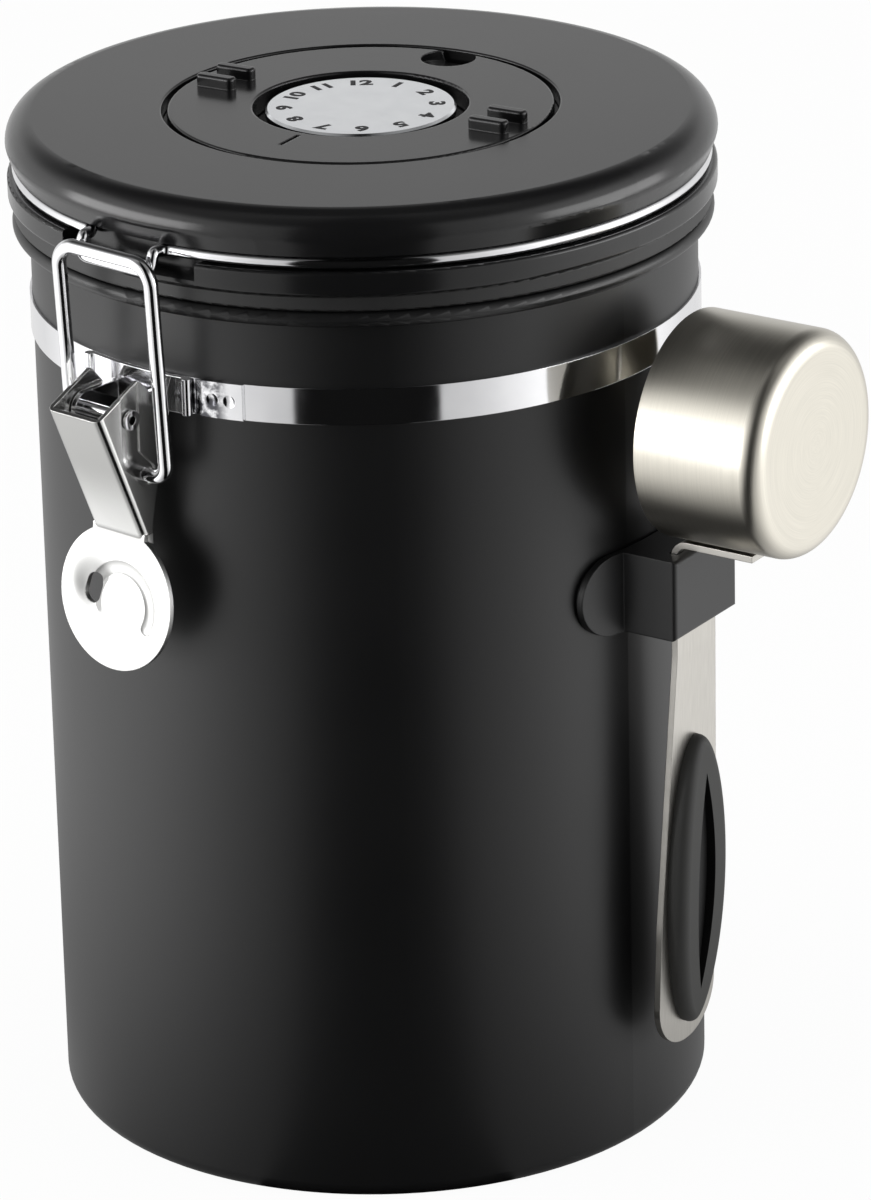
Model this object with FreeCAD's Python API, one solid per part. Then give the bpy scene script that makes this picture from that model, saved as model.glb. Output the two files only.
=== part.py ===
import FreeCAD, Part
import math
import os

# All sizes are millimetres and all angles degrees. Z is the canister's axis, z = 0 the table.
# The latch is at the front (-Y), the lid's hinge at the back (+Y), the scoop on the right.

# Shared clearances
close_fit = 0.02
running_clearance = 0.06
slide_gap = 0.3
overrun = 1.0
least_edge = 0.001
end_round_share = 0.98

# Canister body: a drawn steel can with a pressed base and a rolled rim
body_radius = 60.0
body_wall = 0.7
body_height = 170.4
base_edge_radius = 3.0
base_groove_inset = 14.0
base_groove_width = 7.0
base_groove_depth = 0.9
base_groove_slope = 1.2
rim_overhang = 3.0
rim_bead_height = 2.9
rim_bead_round_share = 0.49

# Clamp band: a steel strap round the neck, one end lapped over the other and spot welded
band_drop = 14.6
band_height = 6.6
band_gauge = 0.5
lap_start = 13.6
lap_length = 7.9
weld_radius = 2.4
weld_depth = 0.3
weld_inset = 2.4

# Latch bracket: a plate on the band with two ears that carry the lever
bracket_gauge = 0.9
bracket_half_width = 12.3
bracket_roll_radius = 0.9
ear_gauge = 1.0
ear_tip_radius = 3.1
ear_gap = 0.25

# Lever: a folded steel channel that ends in a round thumb tab
lever_gauge = 0.9
lever_width = 12.3
lever_fold_radius = 1.4
pivot_reach = 9.2
pivot_rise = 0.4
lever_top_reach = 8.0
lever_top_rise = 1.6
lever_peak_setback = 2.6
lever_peak_rise = 6.5
lever_back_reach = 6.4
lever_back_rise = 2.2
lever_heel_drop = 13.0
lever_taper_setback = 4.6
lever_taper_drop = 21.2
lever_heel_foot_drop = 24.4
lever_foot_setback = 2.3
lever_foot_drop = 23.0
lever_corner_radius = 0.8
channel_half_width = 2.1
channel_depth = 0.25
channel_turn_drop = 7.4
tab_radius = 13.05
tab_drop = 11.9
tab_flare = 7.0
groove_radius = 6.8
groove_bore = 2.0
groove_depth = 0.4
groove_start_angle = -28.0
groove_end_angle = 152.0
groove_side_shift = 1.4
groove_drop = 1.0
tab_slot_width = 3.6
tab_slot_length = 5.6
tab_slot_angle = 165.0

# Lever rivet: a hollow eyelet through the ears and the lever
rivet_radius = 1.25
rivet_bore = 0.8
rivet_head_radius = 1.8
rivet_head_height = 0.5

# Bail: a loop of round wire whose ends turn into the lever's walls
bail_wire_radius = 1.3
bail_half_width = 10.8
bail_pivot_setback = 3.6
bail_pivot_drop = 11.0
bail_rise = 39.6
bail_foot_radius = 2.8
bail_top_radius = 4.0
bail_tip_inset = 1.4
bail_catch_gap = 0.4

# Lid wire: one closed ring, with a catch loop at the front and a hinge loop at the back
lid_wire_radius = 1.1
wire_groove_gap = 0.1
wire_height = 8.7
catch_half_width = 8.2
catch_reach = 3.4
catch_dip = 3.4
catch_bend = 1.9
wire_turn = 2.2
hinge_half_width = 9.2
hinge_reach = 5.9
hinge_bend = 2.2

# Hinge bracket: a strip on the band, rolled round the wire's back bar
hinge_gauge = 0.9
hinge_plate_half_width = 12.0
hinge_strip_half_width = 6.8
hinge_step_rise = 4.5
hinge_corner_radius = 1.6

# Lid base: the moulded plug and flange
flange_drop = 3.2
flange_height = 4.2
flange_overhang = 3.6
flange_round = 0.7
groove_floor_step = 0.4
groove_height = 2.6
plug_clearance = 2.4
plug_depth = 6.9
plug_wall = 2.0
plug_lip = 0.7
plug_lip_height = 0.9
neck_wall = 2.2
neck_gap = 0.2
flange_notch_half_width = 15.5
flange_notch_depth = 3.0

# Lid cap: the moulded top, with the well of the date ring
cap_edge_setback = 1.0
cap_bulge = 0.1
cap_widest_height = 3.0
cap_height = 7.9
cap_round = 4.6
cap_wall = 2.2
cap_notch_half_width = 7.3
cap_notch_height = 3.6
cap_notch_round = 1.5
cap_notch_depth = 1.9
cap_notch_turn = 17.9
well_radius = 35.6
well_depth = 3.8
well_undercut = 0.6
well_undercut_height = 1.3
well_edge_round = 0.4
hub_radius = 11.0
vent_radius = 1.2
vent_pitch_radius = 14.2
vent_count = 6
boss_radius = 3.0

# Date ring: turns in the well, held under its lip
ring_gap = 1.0
ring_bore_radius = 19.3
ring_set_down = 0.1
ring_floor_gap = 0.2
ring_flange_gap = 0.3
ring_edge_round = 0.4
grip_radius = 28.4
grip_length = 7.7
grip_width = 2.4
grip_rise = 2.2
grip_spacing = 6.6
grip_corner = 1.0
grip_round = 0.5
mark_inner = 20.9
mark_outer = 27.2
mark_width = 0.8
mark_depth = 0.5
pry_radius = 5.0
pry_reach = 30.4
pry_depth = 1.3
pry_tilt = 12.0
ring_turn = 9.7

# Date disc: the silver plate over the vents
disc_radius = 17.1
disc_thickness = 1.5
disc_set_down = 0.5
disc_chamfer = 0.4
disc_spigot_radius = 4.0
disc_spigot_length = 3.0

# Gasket: a silicone ring on the plug, resting on the rim
gasket_fit = 0.05
gasket_set_back = 0.7
gasket_round = 0.5
seal_gap = 0.1
lip_clearance = 1.1
fin_height = 1.2
fin_reach = 0.6

# Valve: a pressed-in body, a silicone umbrella over its holes, a cap, a filter and its grille
valve_radius = 13.0
valve_flange = 2.0
valve_flange_thickness = 1.2
valve_rim_radius = 10.8
valve_rim_wall = 1.4
valve_rim_height = 5.2
valve_hole_radius = 1.1
valve_hole_pitch = 4.6
valve_hole_count = 6
umbrella_radius = 7.2
umbrella_thickness = 0.9
umbrella_seat_gap = 0.1
stem_radius = 1.4
stem_clearance = 0.3
barb_radius = 2.2
barb_height = 0.5
barb_room = 1.4
valve_seat_rise = 3.2
valve_cap_wall = 1.2
filter_radius = 10.6
filter_thickness = 1.0
filter_gap = 0.15
grille_thickness = 1.2
grille_hole_radius = 1.1
grille_rings = 3
grille_pitch = 3.2
grille_first_count = 6

# Screws that draw the base to the cap
screw_count = 4
screw_radius = 1.4
screw_head_radius = 2.9
screw_head_height = 1.2
screw_bite = 9.0
screw_socket_radius = 1.0
screw_socket_depth = 0.6

# Scoop holder: a moulded plate on the wall with a block, slotted and open on its far side
scoop_angle = 97.0
holder_pad_thickness = 0.5
holder_plate_thickness = 1.2
holder_plate_half_length = 20.2
holder_bottom = 102.6
holder_height = 15.0
holder_half_width = 10.4
holder_front_reach = 11.5
holder_front_wall = 1.8
holder_corner_radius = 0.8

# Scoop: a drawn cup welded to a bent strip with a moulded grip
strip_gauge = 1.2
neck_half_width = 6.45
paddle_half_width = 9.4
paddle_widest_height = 45.0
paddle_end_height = 20.0
paddle_lean = 2.2
lean_top = 98.0
lean_radius = 60.0
tab_lift = 1.3
tab_bend_radius = 2.0
tab_length = 15.5
cup_radius = 20.5
cup_depth = 24.8
cup_wall = 0.8
cup_corner_radius = 3.4
cup_rim_reach = 9.4
cup_seat = 0.25
leaf_bottom = 23.8
leaf_top = 80.8
leaf_half_width = 7.7
leaf_crown = 3.6
leaf_end_fall = 1.2
leaf_edge_radius = 1.9
window_inset = 3.2
leaf_back = 0.9
leaf_back_inset = 1.2
recess_end_inset = 7.0
recess_half_width = 2.8
recess_depth = 1.8

# Heights and radii that several pieces share
full_turn = 360.0
half_turn = 180.0
quarter_turn = 90.0
z_axis = FreeCAD.Vector(0, 0, 1)
x_axis = FreeCAD.Vector(1, 0, 0)
centre = FreeCAD.Vector(0, 0, 0)
band_top = body_height - band_drop
band_bottom = band_top - band_height
band_outer = body_radius + band_gauge
bracket_outer = band_outer + bracket_gauge
pivot_r = body_radius + pivot_reach
pivot_z = band_bottom + pivot_rise
bail_pivot_r = pivot_r - bail_pivot_setback
bail_pivot_z = pivot_z - bail_pivot_drop
flange_bottom = body_height + flange_drop
flange_top = flange_bottom + flange_height
flange_radius = body_radius + flange_overhang
groove_floor_radius = body_radius + groove_floor_step
plug_radius = body_radius - body_wall - plug_clearance
cap_lower_radius = flange_radius - cap_edge_setback
cap_widest_radius = flange_radius + cap_bulge
well_outer = well_radius + well_undercut + cap_wall
screw_pitch_radius = (well_outer + plug_radius - plug_wall) / 2
cap_bottom = flange_top + groove_height
cap_top = cap_bottom + cap_height
wire_z = body_height + wire_height
wire_ring_radius = groove_floor_radius + wire_groove_gap + lid_wire_radius
catch_r = wire_ring_radius + catch_reach
catch_z = wire_z - catch_dip
hinge_r = wire_ring_radius + hinge_reach
plug_bottom = body_height - plug_depth
plug_floor = plug_bottom + plug_wall
valve_seat = plug_floor + valve_seat_rise
well_floor = cap_top - well_depth
floor_bottom = well_floor - cap_wall
holder_top = holder_bottom + holder_height
holder_front = body_radius + holder_front_reach
slot_front = holder_front - holder_front_wall
strip_front = slot_front - slide_gap
strip_back = strip_front - strip_gauge
slot_back = strip_back - slide_gap
tab_under = holder_top + tab_lift
cup_rim = body_radius + cup_rim_reach
cup_z = tab_under + strip_gauge - cup_seat + cup_radius


def front(r, s, z):
    """The point r out from the axis at the front, s to the right and z up."""
    return FreeCAD.Vector(s, -r, z)


def on_profile(r, z):
    """A point of a half section that is turned about the axis."""
    return FreeCAD.Vector(r, 0, z)


def rounded_edges(corners, closed):
    """Lines from corner to corner, with an arc of each corner's own radius where it is not zero."""
    count = len(corners)
    bends = []
    for index, (point, radius) in enumerate(corners):
        at_end = not closed and index in (0, count - 1)
        if radius == 0 or at_end:
            bends.append((point, None, point))
            continue
        back = (corners[index - 1][0] - point).normalize()
        ahead = (corners[(index + 1) % count][0] - point).normalize()
        half_angle = back.getAngle(ahead) / 2
        run = radius / math.tan(half_angle)
        inward = (back + ahead).normalize()
        middle = point + inward * (radius / math.sin(half_angle) - radius)
        bends.append((point + back * run, middle, point + ahead * run))
    edges = []
    for index, (enter, middle, leave) in enumerate(bends):
        if middle is not None:
            edges.append(Part.Arc(enter, middle, leave).toShape())
        if closed or index < count - 1:
            following = bends[(index + 1) % count][0]
            if leave.distanceToPoint(following) > least_edge:
                edges.append(Part.LineSegment(leave, following).toShape())
    return edges


def rounded_face(corners, place):
    """A flat face whose corners (a, b, corner radius) are set in space by place(a, b)."""
    placed = [(place(a, b), radius) for a, b, radius in corners]
    return Part.Face(Part.Wire(rounded_edges(placed, True)))


def turned(corners):
    """A solid of revolution about the axis from a half section of (r, z, corner radius)."""
    return rounded_face(corners, on_profile).revolve(centre, z_axis, full_turn)


def disc(radius, bottom, top):
    """An upright cylinder on the axis."""
    return Part.makeCylinder(radius, top - bottom, FreeCAD.Vector(0, 0, bottom))


def post(radius, r, bottom, top):
    """An upright cylinder at the front, its axis r out from the canister's."""
    return Part.makeCylinder(radius, top - bottom, front(r, 0, bottom))


def tube(inner, outer, bottom, top):
    """An upright ring on the axis."""
    return disc(outer, bottom, top).cut(disc(inner, bottom, top))


def front_box(r_low, r_high, s_low, s_high, z_low, z_high):
    """A box at the front, between two depths, two sides and two heights."""
    corner = FreeCAD.Vector(s_low, -r_high, z_low)
    return Part.makeBox(s_high - s_low, r_high - r_low, z_high - z_low, corner)


def side_plate(corners, s_low, s_high):
    """A plate cut to an outline of (r, z, corner radius), between two sides s."""
    face = rounded_face(corners, lambda r, z: front(r, s_low, z))
    return face.extrude(x_axis * (s_high - s_low))


def front_plate(corners, r_back, r_front):
    """A plate cut to an outline of (s, z, corner radius), between two depths r."""
    face = rounded_face(corners, lambda s, z: front(r_back, s, z))
    return face.extrude(FreeCAD.Vector(0, r_back - r_front, 0))


def cross_pin(radius, r, z, s_low, s_high):
    """A round pin across the front, along s."""
    return Part.makeCylinder(radius, s_high - s_low, front(r, s_low, z), x_axis)


def spun(shape, angle):
    """A copy of the shape, turned about the canister's axis."""
    copy = shape.copy()
    copy.rotate(centre, z_axis, angle)
    return copy


def ring_of(shape, count):
    """The shape and its copies, evenly spaced about the axis."""
    return [spun(shape, full_turn * index / count) for index in range(count)]


def mirrored_pair(shape):
    """The shape and its mirror image on the other side of the front's centre line."""
    return [shape, shape.mirror(centre, x_axis)]


def rod(edges, radius):
    """A round wire swept along tangent edges."""
    path = Part.Wire(edges)
    first = path.OrderedEdges[0]
    start = path.OrderedVertexes[0].Point
    heading = first.tangentAt(first.FirstParameter)
    section = Part.Wire(Part.makeCircle(radius, start, heading))
    return path.makePipeShell([section], True, False)


def canister_body():
    groove_out = body_radius - base_groove_inset + base_groove_width / 2
    groove_in = groove_out - base_groove_width
    bead_round = rim_bead_height * rim_bead_round_share
    bead_bottom = body_height - rim_bead_height
    rim_radius = body_radius + rim_overhang
    inside = body_radius - body_wall
    outside = [
        (0, 0, 0),
        (groove_in, 0, 0),
        (groove_in + base_groove_slope, base_groove_depth, 0),
        (groove_out - base_groove_slope, base_groove_depth, 0),
        (groove_out, 0, 0),
        (body_radius, 0, base_edge_radius),
        (body_radius, bead_bottom, 0),
        (rim_radius, bead_bottom, bead_round),
        (rim_radius, body_height, bead_round),
    ]
    raised = base_groove_depth + body_wall
    within = [
        (inside, body_height, 0),
        (inside, body_wall, base_edge_radius - body_wall),
        (groove_out, body_wall, 0),
        (groove_out - base_groove_slope, raised, 0),
        (groove_in + base_groove_slope, raised, 0),
        (groove_in, body_wall, 0),
        (0, body_wall, 0),
    ]
    return turned(outside + within)


def clamp_band():
    strap = tube(body_radius + close_fit, band_outer, band_bottom, band_top)
    lap_outer = band_outer + band_gauge
    lap = tube(band_outer - close_fit, lap_outer, band_bottom, band_top)
    lap_end = lap_start + lap_length
    lap = lap.common(front_box(0, lap_outer + overrun, lap_start, lap_end, band_bottom, band_top))
    band_middle = (band_bottom + band_top) / 2
    for weld_s in (lap_start + weld_inset, lap_end - weld_inset):
        weld = Part.makeSphere(weld_radius, front(lap_outer + weld_radius - weld_depth, 0, band_middle))
        lap = lap.cut(spun(weld, math.degrees(math.asin(weld_s / lap_outer))))
    return strap.fuse(lap).removeSplitter()


def latch_bracket():
    plate = tube(band_outer, bracket_outer, band_bottom, band_top)
    reach = bracket_outer + overrun
    half = bracket_half_width - bracket_roll_radius
    plate = plate.common(front_box(0, reach, -half, half, band_bottom, band_top))
    roll_r = math.sqrt(bracket_outer ** 2 - half ** 2)
    roll = Part.makeCylinder(bracket_roll_radius, band_height, front(roll_r, half, band_bottom))
    roll = roll.cut(disc(band_outer, band_bottom, band_top))
    ear_out = lever_width / 2 - lever_gauge - ear_gap
    ear_outline = [
        (body_radius, band_bottom, 0),
        (body_radius, pivot_z + ear_tip_radius, 0),
        (pivot_r + ear_tip_radius, pivot_z + ear_tip_radius, ear_tip_radius - close_fit),
        (pivot_r + ear_tip_radius, pivot_z - ear_tip_radius, ear_tip_radius - close_fit),
        (pivot_r - ear_tip_radius, pivot_z - ear_tip_radius, ear_tip_radius / 2),
    ]
    ear = side_plate(ear_outline, ear_out - ear_gauge, ear_out)
    ear = ear.cut(disc(band_outer, band_bottom - overrun, band_top + overrun))
    ear = ear.cut(cross_pin(rivet_radius + close_fit, pivot_r, pivot_z, 0, lever_width))
    bracket = plate
    for piece in mirrored_pair(roll) + mirrored_pair(ear):
        bracket = bracket.fuse(piece)
    return bracket.removeSplitter()


def lever_rivet():
    inner_end = lever_width / 2 + running_clearance
    outer_end = inner_end + rivet_head_height
    rivet = cross_pin(rivet_radius, pivot_r, pivot_z, -outer_end, outer_end)
    head = cross_pin(rivet_head_radius, pivot_r, pivot_z, inner_end, outer_end)
    for piece in mirrored_pair(head):
        rivet = rivet.fuse(piece)
    return rivet.cut(cross_pin(rivet_bore, pivot_r, pivot_z, -outer_end, outer_end)).removeSplitter()


def lever_outline():
    """The lever's side view: the front fold, the peak over the ears, the heel and the taper."""
    return [
        (pivot_r + lever_top_reach, pivot_z + lever_top_rise, 0),
        (pivot_r - lever_peak_setback, pivot_z + lever_peak_rise, lever_corner_radius),
        (pivot_r - lever_back_reach, pivot_z + lever_back_rise, lever_corner_radius),
        (pivot_r - lever_back_reach, pivot_z - lever_heel_drop, lever_corner_radius),
        (pivot_r - lever_taper_setback, pivot_z - lever_taper_drop, lever_corner_radius),
        (pivot_r - lever_taper_setback, pivot_z - lever_heel_foot_drop, 0),
        (pivot_r - lever_foot_setback, pivot_z - lever_foot_drop, 0),
    ]


def thumb_tab():
    """The round tab below the fold, flared outward, with a pressed groove and a slot through it."""
    neck_half = lever_width / 2
    tab_centre = FreeCAD.Vector(0, -tab_drop, 0)
    down = FreeCAD.Vector(0, 0, -1)
    tab = Part.makeCylinder(tab_radius, lever_gauge, tab_centre, down)
    neck = Part.makeBox(lever_width, tab_drop + lever_gauge, lever_gauge,
                        FreeCAD.Vector(-neck_half, -tab_drop, -lever_gauge))
    tab = tab.fuse(neck).removeSplitter()
    sweep = groove_end_angle - groove_start_angle
    ring = Part.makeTorus(groove_radius, groove_bore, centre, z_axis)
    sector_radius = groove_radius + groove_bore
    sector = Part.makeCylinder(sector_radius, groove_bore * 2, down * groove_bore, z_axis, sweep)
    sector.rotate(centre, z_axis, groove_start_angle)
    round_end = Part.makeSphere(groove_bore, FreeCAD.Vector(groove_radius, 0, 0))
    round_end.rotate(centre, z_axis, groove_start_angle)
    groove = ring.common(sector).fuse(round_end)
    groove.translate(FreeCAD.Vector(0, 0, groove_bore - groove_depth))
    slot_inner = groove_radius - tab_slot_width / 2
    slot_corner = FreeCAD.Vector(slot_inner, -tab_slot_length / 2, -lever_gauge - overrun)
    slot = Part.makeBox(tab_slot_width, tab_slot_length, lever_gauge + overrun * 2, slot_corner)
    slot = slot.makeFillet(tab_slot_width / 2 * end_round_share, upright_edges(slot, z_axis))
    slot.rotate(centre, z_axis, tab_slot_angle)
    for cutter in (groove, slot):
        cutter.translate(tab_centre + FreeCAD.Vector(groove_side_shift, -groove_drop, 0))
        tab = tab.cut(cutter)
    tab.rotate(centre, x_axis, quarter_turn - tab_flare)
    tab.translate(front(pivot_r - lever_foot_setback, 0, pivot_z - lever_foot_drop))
    return tab


def upright_edges(shape, direction):
    """The straight edges of a shape that run along a direction."""
    found = []
    for edge in shape.Edges:
        if isinstance(edge.Curve, (Part.Line, Part.LineSegment)):
            if abs(abs(edge.tangentAt(edge.FirstParameter).dot(direction)) - 1) < least_edge:
                found.append(edge)
    return found


def pressed_channel():
    """The shallow channel pressed into the lever's right wall, from its top past the rivet to the bail."""
    floor = lever_width / 2 - channel_depth
    past = lever_width / 2 + overrun
    turn_z = pivot_z - channel_turn_drop
    top = pivot_z + lever_peak_rise + overrun
    run = FreeCAD.Vector(bail_pivot_r - pivot_r, bail_pivot_z - turn_z, 0).normalize() * channel_half_width
    upright = side_plate([
        (pivot_r - channel_half_width, turn_z, 0),
        (pivot_r + channel_half_width, turn_z, 0),
        (pivot_r + channel_half_width, top, 0),
        (pivot_r - channel_half_width, top, 0),
    ], floor, past)
    slanted = side_plate([
        (pivot_r + run.y, turn_z - run.x, 0),
        (pivot_r - run.y, turn_z + run.x, 0),
        (bail_pivot_r - run.y, bail_pivot_z + run.x, 0),
        (bail_pivot_r + run.y, bail_pivot_z - run.x, 0),
    ], floor, past)
    channel = upright.fuse(slanted)
    channel = channel.fuse(cross_pin(channel_half_width, pivot_r, turn_z, floor, past))
    channel = channel.fuse(cross_pin(channel_half_width, bail_pivot_r, bail_pivot_z, floor, past))
    return channel.removeSplitter()


def latch_lever():
    outline = lever_outline()
    half = lever_width / 2
    channel = side_plate(outline, -half, half)
    top = FreeCAD.Vector(outline[0][0], outline[0][1], 0)
    foot = FreeCAD.Vector(outline[-1][0], outline[-1][1], 0)
    fall = (foot - top).normalize()
    folds = [edge for edge in channel.Edges if is_front_fold(edge, top, foot)]
    channel = channel.makeFillet(lever_fold_radius, folds)
    inward = FreeCAD.Vector(fall.y, -fall.x, 0)
    length = (foot - top).Length
    inner_top = top + inward * lever_gauge - fall * length
    inner_foot = foot + inward * lever_gauge + fall * length
    far = inward * length
    hollow = [
        (inner_top.x, inner_top.y, 0),
        (inner_top.x + far.x, inner_top.y + far.y, 0),
        (inner_foot.x + far.x, inner_foot.y + far.y, 0),
        (inner_foot.x, inner_foot.y, 0),
    ]
    inner_half = half - lever_gauge
    channel = channel.cut(side_plate(hollow, -inner_half, inner_half))
    lever = channel.fuse(thumb_tab())
    for cutter in mirrored_pair(pressed_channel()):
        lever = lever.cut(cutter)
    rivet_hole = rivet_radius + running_clearance
    bail_hole = bail_wire_radius + running_clearance
    lever = lever.cut(cross_pin(rivet_hole, pivot_r, pivot_z, -lever_width, lever_width))
    lever = lever.cut(cross_pin(bail_hole, bail_pivot_r, bail_pivot_z, -lever_width, lever_width))
    return lever.removeSplitter()


def is_front_fold(edge, top, foot):
    """True for the two long edges between the lever's front and its walls."""
    ends = [vertex.Point for vertex in edge.Vertexes]
    if len(ends) != 2:
        return False
    flat = sorted((FreeCAD.Vector(-end.y, end.z, 0) for end in ends), key=lambda point: -point.y)
    same_top = flat[0].distanceToPoint(top) < least_edge
    same_foot = flat[1].distanceToPoint(foot) < least_edge
    return same_top and same_foot


def bail_top_r():
    return catch_r + lid_wire_radius + bail_catch_gap + bail_wire_radius


def latch_bail():
    lean = bail_top_r() - bail_pivot_r
    tip_s = lever_width / 2 - bail_tip_inset
    path = [
        (tip_s, 0, 0),
        (bail_half_width, 0, bail_foot_radius),
        (bail_half_width, 1, bail_top_radius),
        (-bail_half_width, 1, bail_top_radius),
        (-bail_half_width, 0, bail_foot_radius),
        (-tip_s, 0, 0),
    ]
    corners = []
    for s, rise_share, radius in path:
        point = front(bail_pivot_r + lean * rise_share, s, bail_pivot_z + bail_rise * rise_share)
        corners.append((point, radius))
    return rod(rounded_edges(corners, False), bail_wire_radius)


def loop_turn(half_width):
    """Where a loop's straight side meets the small arc that turns it into the ring, and that arc."""
    turn_s = half_width + wire_turn
    turn_r = math.sqrt((wire_ring_radius + wire_turn) ** 2 - turn_s ** 2)
    ring_share = wire_ring_radius / (wire_ring_radius + wire_turn)
    on_ring = (turn_s * ring_share, turn_r * ring_share)
    middle_s = (half_width - turn_s) + on_ring[0] - turn_s
    middle_r = on_ring[1] - turn_r
    length = math.hypot(middle_s, middle_r)
    middle = (turn_s + middle_s / length * wire_turn, turn_r + middle_r / length * wire_turn)
    return (half_width, turn_r), middle, on_ring


def lid_wire():
    """Half of the wire, from the middle of the catch to the middle of the hinge bar, and its mirror."""
    front_line, front_middle, front_ring = loop_turn(catch_half_width)
    back_line, back_middle, back_ring = loop_turn(hinge_half_width)
    slope_end = front_line[1] + catch_bend / 2
    catch_corners = [
        (front(catch_r, 0, catch_z), 0),
        (front(catch_r, catch_half_width, catch_z), catch_bend),
        (front(slope_end, catch_half_width, wire_z), catch_bend / 2),
        (front(front_line[1], front_line[0], wire_z), 0),
    ]
    hinge_corners = [
        (front(-back_line[1], back_line[0], wire_z), 0),
        (front(-hinge_r, hinge_half_width, wire_z), hinge_bend),
        (front(-hinge_r, 0, wire_z), 0),
    ]
    edges = rounded_edges(catch_corners, False)
    edges.append(Part.Arc(front(front_line[1], front_line[0], wire_z),
                          front(front_middle[1], front_middle[0], wire_z),
                          front(front_ring[1], front_ring[0], wire_z)).toShape())
    edges.append(Part.Arc(front(front_ring[1], front_ring[0], wire_z),
                          front(0, wire_ring_radius, wire_z),
                          front(-back_ring[1], back_ring[0], wire_z)).toShape())
    edges.append(Part.Arc(front(-back_ring[1], back_ring[0], wire_z),
                          front(-back_middle[1], back_middle[0], wire_z),
                          front(-back_line[1], back_line[0], wire_z)).toShape())
    edges += rounded_edges(hinge_corners, False)
    half = rod(edges, lid_wire_radius)
    return half.fuse(half.mirror(centre, x_axis)).removeSplitter()


def hinge_bracket():
    knuckle_inner = lid_wire_radius + running_clearance
    knuckle_outer = knuckle_inner + hinge_gauge
    strip_in = hinge_r - knuckle_outer
    strip_out = strip_in + hinge_gauge
    plate = tube(band_outer, band_outer + hinge_gauge, band_bottom, band_top)
    reach = band_outer + overrun + hinge_gauge
    plate = plate.common(front_box(0, reach, -hinge_plate_half_width, hinge_plate_half_width,
                                   band_bottom, band_top))
    step_z = band_top + hinge_step_rise
    strip_outline = [
        (body_radius, band_top - hinge_step_rise, 0),
        (band_outer + hinge_gauge, band_top - hinge_step_rise, 0),
        (band_outer + hinge_gauge, band_top, hinge_corner_radius),
        (strip_out, step_z, hinge_corner_radius),
        (strip_out, wire_z, 0),
        (strip_in, wire_z, 0),
        (strip_in, step_z + hinge_gauge / 2, hinge_corner_radius),
        (band_outer, band_top + hinge_gauge / 2, hinge_corner_radius),
        (band_outer, band_top, 0),
        (body_radius, band_top, 0),
    ]
    strip = side_plate(strip_outline, -hinge_strip_half_width, hinge_strip_half_width)
    strip = strip.cut(disc(band_outer, band_bottom, band_top))
    knuckle = cross_pin(knuckle_outer, hinge_r, wire_z, -hinge_strip_half_width, hinge_strip_half_width)
    bracket = plate.fuse(strip).fuse(knuckle)
    bore = cross_pin(knuckle_inner, hinge_r, wire_z, -hinge_plate_half_width, hinge_plate_half_width)
    return spun(bracket.cut(bore).removeSplitter(), half_turn)


def lid_base():
    bore = valve_radius + close_fit
    neck_top = cap_bottom - neck_gap
    section = [
        (bore, plug_bottom, 0),
        (plug_radius + plug_lip, plug_bottom, plug_lip / 2),
        (plug_radius + plug_lip, plug_bottom + plug_lip_height, 0),
        (plug_radius, plug_bottom + plug_lip_height + plug_lip, 0),
        (plug_radius, flange_bottom, 0),
        (flange_radius, flange_bottom, flange_round),
        (flange_radius, flange_top, flange_round),
        (groove_floor_radius, flange_top, 0),
        (groove_floor_radius, neck_top, 0),
        (groove_floor_radius - neck_wall, neck_top, 0),
        (plug_radius - plug_wall, flange_bottom, 0),
        (plug_radius - plug_wall, plug_floor, 0),
        (bore, plug_floor, 0),
    ]
    base = turned(section)
    notch = tube(groove_floor_radius, flange_radius + overrun, flange_top - flange_notch_depth, cap_bottom)
    notch = notch.common(front_box(0, flange_radius + overrun, -flange_notch_half_width,
                                   flange_notch_half_width, flange_bottom, cap_bottom))
    base = base.cut(notch)
    hole = post(screw_radius + close_fit, screw_pitch_radius, plug_bottom, plug_floor)
    sink_top = plug_bottom + screw_head_height
    sink = post(screw_head_radius + close_fit, screw_pitch_radius, plug_bottom, sink_top)
    for cutter in ring_of(hole.fuse(sink), screw_count):
        base = base.cut(spun(cutter, half_turn / screw_count))
    return base


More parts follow.
